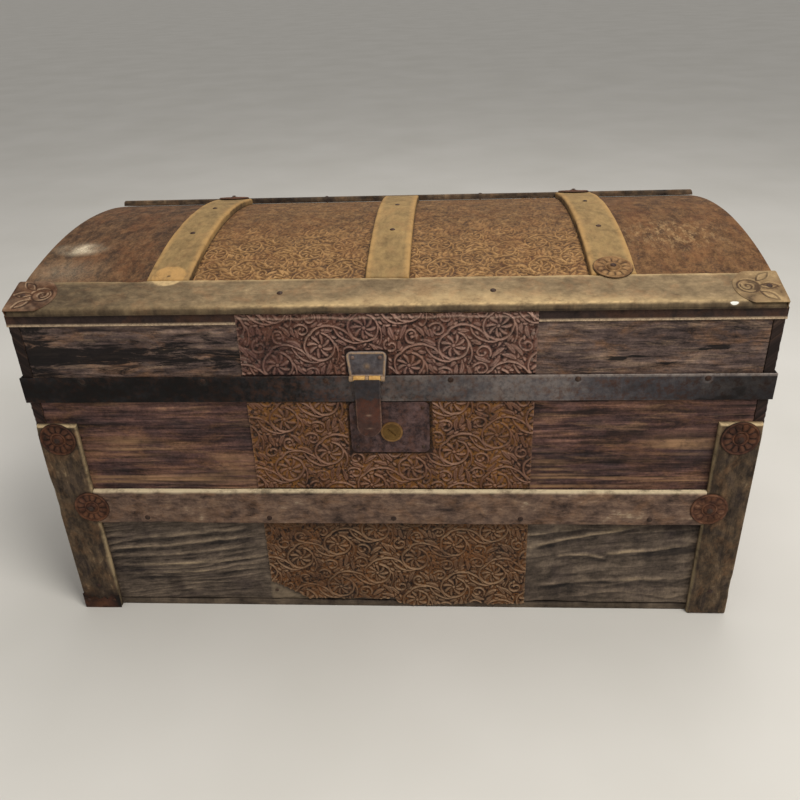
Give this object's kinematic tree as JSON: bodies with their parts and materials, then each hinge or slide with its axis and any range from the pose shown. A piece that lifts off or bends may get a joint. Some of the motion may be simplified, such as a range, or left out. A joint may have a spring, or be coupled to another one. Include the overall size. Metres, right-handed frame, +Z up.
{
  "type": "dome top trunk",
  "caption": "Domed wooden travelling trunk with a hinged lid, embossed sheet tin, wooden slats, iron band, hasp, key lock and leather end handles.",
  "frame": {"origin": "on the floor, under the middle of the box", "axes": "+X to the right along the trunk's length, +Y from the front to the back, +Z up"},
  "size_m": [0.8716, 0.4564, 0.4449],
  "materials": {
    "pine_boards": "weathered dark pine",
    "slat_wood": "worn dusty slats",
    "sheet_tin": "rusty embossed sheet tin",
    "dark_iron": "dark rusted iron",
    "old_brass": "tarnished brass",
    "old_leather": "old dry leather"
  },
  "bodies": {
    "box": {"bottom_planks": "pine_boards", "front_lower_plank": "pine_boards", "front_upper_plank": "pine_boards", "back_planks": "pine_boards", "left_end_planks": "pine_boards", "right_end_planks": "pine_boards", "front_left_batten": "slat_wood", "front_right_batten": "slat_wood", "back_battens": "slat_wood", "front_slat": "slat_wood", "back_slat": "slat_wood", "left_end_slat": "slat_wood", "right_end_slat": "slat_wood", "front_lower_tin": "sheet_tin", "front_upper_tin": "sheet_tin", "left_batten_shoe": "sheet_tin", "box_rosettes": "sheet_tin", "lock_plate": "dark_iron", "lock_case": "dark_iron", "keyhole_bezel": "dark_iron", "hinge_box_leaves": "dark_iron", "hinge_pins": "dark_iron", "left_handle_caps": "dark_iron", "right_handle_caps": "dark_iron", "box_nails": "dark_iron", "box_tacks": "dark_iron", "left_handle_strap": "old_leather", "right_handle_strap": "old_leather"},
    "lid": {"lid_front_board": "pine_boards", "lid_back_board": "pine_boards", "lid_left_end": "pine_boards", "lid_right_end": "pine_boards", "dome_staves": "pine_boards", "lid_front_tin": "sheet_tin", "dome_tin_middle": "sheet_tin", "dome_tin_left": "sheet_tin", "dome_tin_right": "sheet_tin", "lid_front_slat": "slat_wood", "lid_rear_slat": "slat_wood", "cross_slat_left": "slat_wood", "cross_slat_middle": "slat_wood", "cross_slat_right": "slat_wood", "corner_cap_left": "sheet_tin", "corner_cap_right": "sheet_tin", "lid_rosettes": "sheet_tin", "lid_band_front": "dark_iron", "lid_band_left": "dark_iron", "lid_band_right": "dark_iron", "lid_nails": "dark_iron", "lid_tacks": "dark_iron", "hasp_plate": "dark_iron", "hasp_pin": "dark_iron", "hinge_lid_leaves": "dark_iron"},
    "hasp": {"hasp_tongue": "dark_iron", "hasp_staple": "dark_iron"},
    "plug": {"key_plug": "old_brass"},
    "bolt": {"lock_bolt": "dark_iron"}
  },
  "joints": [
    {"name": "lid_hinge", "type": "hinge", "parent": "box", "child": "lid", "pos_m": [0, 0.2218, 0.3122], "axis": [-1, 0, 0], "range_deg": [0, 100]},
    {"name": "hasp_swing", "type": "hinge", "parent": "lid", "child": "hasp", "pos_m": [-0.022, -0.2232, 0.328], "axis": [-1, 0, 0], "range_deg": [0, 160]},
    {"name": "key_turn", "type": "hinge", "parent": "box", "child": "plug", "pos_m": [0.002, -0.2198, 0.26], "axis": [0, -1, 0], "range_deg": [0, 90]},
    {"name": "bolt_slide", "type": "slide", "parent": "box", "child": "bolt", "axis": [-1, 0, 0], "range_m": [0, 0.0093]}
  ],
  "couplings": [
    {"joint": "bolt_slide", "follows": "key_turn", "m_per_rad": 0.005852}
  ]
}
